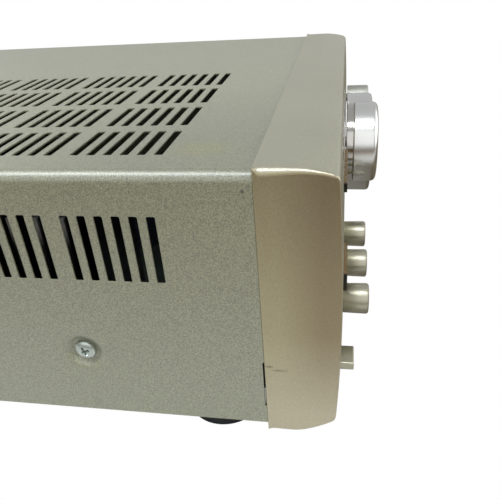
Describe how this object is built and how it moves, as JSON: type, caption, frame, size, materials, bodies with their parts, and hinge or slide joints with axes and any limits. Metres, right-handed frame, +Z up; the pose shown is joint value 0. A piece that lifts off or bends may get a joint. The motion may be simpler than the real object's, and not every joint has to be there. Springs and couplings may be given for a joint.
{
  "type": "stereo_receiver",
  "caption": "Midi-size stereo receiver: slotted champagne cover, deep crowned front panel, large polished volume and selector knobs, tone knobs, power button, round feet",
  "frame": {"origin": "on the floor plane under the middle of the object's bounding box", "axes": "+Z up, front panel looks along -Y, +X to the right seen from the front"},
  "size_m": [0.285, 0.3536, 0.1316],
  "materials": {
    "cover_paint": "fine-grained satin paint, warm grey champagne",
    "panel_champagne": "satin champagne",
    "polished_aluminium": "turned and polished",
    "satin_champagne": "satin champagne",
    "smoked_acrylic": "smoked, glossy",
    "zinc_steel": "zinc plated",
    "black_plastic": "moulded black",
    "dark_steel": "varnished laminations",
    "copper_coil": "varnished winding tape",
    "board_green": "coated circuit board",
    "black_anodised": "black anodised extrusion",
    "capacitor_sleeve": "shrunk sleeve",
    "tube_glass": "clear over dark",
    "ribbon_grey": "flat cable",
    "gold_plate": "gold plated"
  },
  "bodies": {
    "case": {"top_cover": "cover_paint", "front_panel": "panel_champagne", "display_window": "smoked_acrylic", "sensor_window": "smoked_acrylic", "chassis_pan": "zinc_steel", "rear_panel": "zinc_steel", "front_subchassis": "zinc_steel", "transformer_bracket": "zinc_steel", "tuner_can": "zinc_steel", "volume_pot": "zinc_steel", "selector_encoder": "zinc_steel", "tuning_encoder": "zinc_steel", "bass_pot": "zinc_steel", "treble_pot": "zinc_steel", "balance_pot": "zinc_steel", "foot_front_left": "black_plastic", "foot_front_right": "black_plastic", "foot_rear_left": "black_plastic", "foot_rear_right": "black_plastic", "power_switch": "black_plastic", "headphone_jack": "black_plastic", "speaker_terminal_block": "black_plastic", "line_jack_block": "black_plastic", "antenna_block": "black_plastic", "mains_inlet": "black_plastic", "amplifier_module": "black_plastic", "speaker_relay": "black_plastic", "transformer_core": "dark_steel", "transformer_coil": "copper_coil", "main_board": "board_green", "front_board": "board_green", "heat_sink": "black_anodised", "filter_capacitor_front": "capacitor_sleeve", "filter_capacitor_rear": "capacitor_sleeve", "display_tube": "tube_glass", "ribbon_cable": "ribbon_grey"},
    "volume_turner": {"volume_knob": "polished_aluminium", "volume_shaft": "zinc_steel"},
    "selector_turner": {"selector_knob": "polished_aluminium", "selector_shaft": "zinc_steel"},
    "tuning_turner": {"tuning_knob": "satin_champagne", "tuning_shaft": "zinc_steel"},
    "bass_turner": {"bass_knob": "satin_champagne", "bass_shaft": "zinc_steel"},
    "treble_turner": {"treble_knob": "satin_champagne", "treble_shaft": "zinc_steel"},
    "balance_turner": {"balance_knob": "satin_champagne", "balance_shaft": "zinc_steel"},
    "power_push": {"power_button": "satin_champagne", "power_rod": "black_plastic"},
    "preset_push_1": {"preset_key_1": "smoked_acrylic"},
    "preset_push_2": {"preset_key_2": "smoked_acrylic"},
    "preset_push_3": {"preset_key_3": "smoked_acrylic"},
    "preset_push_4": {"preset_key_4": "smoked_acrylic"},
    "preset_push_5": {"preset_key_5": "smoked_acrylic"},
    "cap_turner_1": {"speaker_cap_1": "gold_plate"},
    "cap_turner_2": {"speaker_cap_2": "gold_plate"},
    "cap_turner_3": {"speaker_cap_3": "gold_plate"},
    "cap_turner_4": {"speaker_cap_4": "gold_plate"}
  },
  "joints": [
    {"name": "volume_turn", "type": "hinge", "parent": "case", "child": "volume_turner", "pos_m": [0.0695, -0.1595, 0.0677], "axis": [0, 1, 0], "range_deg": [-150, 150]},
    {"name": "selector_turn", "type": "hinge", "parent": "case", "child": "selector_turner", "pos_m": [-0.0025, -0.1595, 0.0926], "axis": [0, 1, 0], "continuous": true},
    {"name": "tuning_turn", "type": "hinge", "parent": "case", "child": "tuning_turner", "pos_m": [0.1195, -0.1595, 0.087], "axis": [0, 1, 0], "continuous": true},
    {"name": "bass_turn", "type": "hinge", "parent": "case", "child": "bass_turner", "pos_m": [-0.091, -0.1595, 0.0442], "axis": [0, 1, 0], "range_deg": [-150, 150]},
    {"name": "treble_turn", "type": "hinge", "parent": "case", "child": "treble_turner", "pos_m": [-0.0582, -0.1595, 0.0442], "axis": [0, 1, 0], "range_deg": [-150, 150]},
    {"name": "balance_turn", "type": "hinge", "parent": "case", "child": "balance_turner", "pos_m": [-0.0254, -0.1595, 0.0442], "axis": [0, 1, 0], "range_deg": [-150, 150]},
    {"name": "power_press", "type": "slide", "parent": "case", "child": "power_push", "axis": [0, 1, 0], "range_m": [0, 0.003], "stiffness_N_per_m": 400},
    {"name": "preset_press_1", "type": "slide", "parent": "case", "child": "preset_push_1", "axis": [0, 1, 0], "range_m": [0, 0.0008], "stiffness_N_per_m": 500},
    {"name": "preset_press_2", "type": "slide", "parent": "case", "child": "preset_push_2", "axis": [0, 1, 0], "range_m": [0, 0.0008], "stiffness_N_per_m": 500},
    {"name": "preset_press_3", "type": "slide", "parent": "case", "child": "preset_push_3", "axis": [0, 1, 0], "range_m": [0, 0.0008], "stiffness_N_per_m": 500},
    {"name": "preset_press_4", "type": "slide", "parent": "case", "child": "preset_push_4", "axis": [0, 1, 0], "range_m": [0, 0.0008], "stiffness_N_per_m": 500},
    {"name": "preset_press_5", "type": "slide", "parent": "case", "child": "preset_push_5", "axis": [0, 1, 0], "range_m": [0, 0.0008], "stiffness_N_per_m": 500},
    {"name": "cap_turn_1", "type": "hinge", "parent": "case", "child": "cap_turner_1", "pos_m": [0.044, 0.165, 0.084], "axis": [0, 1, 0], "range_deg": [0, 360]},
    {"name": "cap_turn_2", "type": "hinge", "parent": "case", "child": "cap_turner_2", "pos_m": [0.062, 0.165, 0.084], "axis": [0, 1, 0], "range_deg": [0, 360]},
    {"name": "cap_turn_3", "type": "hinge", "parent": "case", "child": "cap_turner_3", "pos_m": [0.08, 0.165, 0.084], "axis": [0, 1, 0], "range_deg": [0, 360]},
    {"name": "cap_turn_4", "type": "hinge", "parent": "case", "child": "cap_turner_4", "pos_m": [0.098, 0.165, 0.084], "axis": [0, 1, 0], "range_deg": [0, 360]}
  ]
}
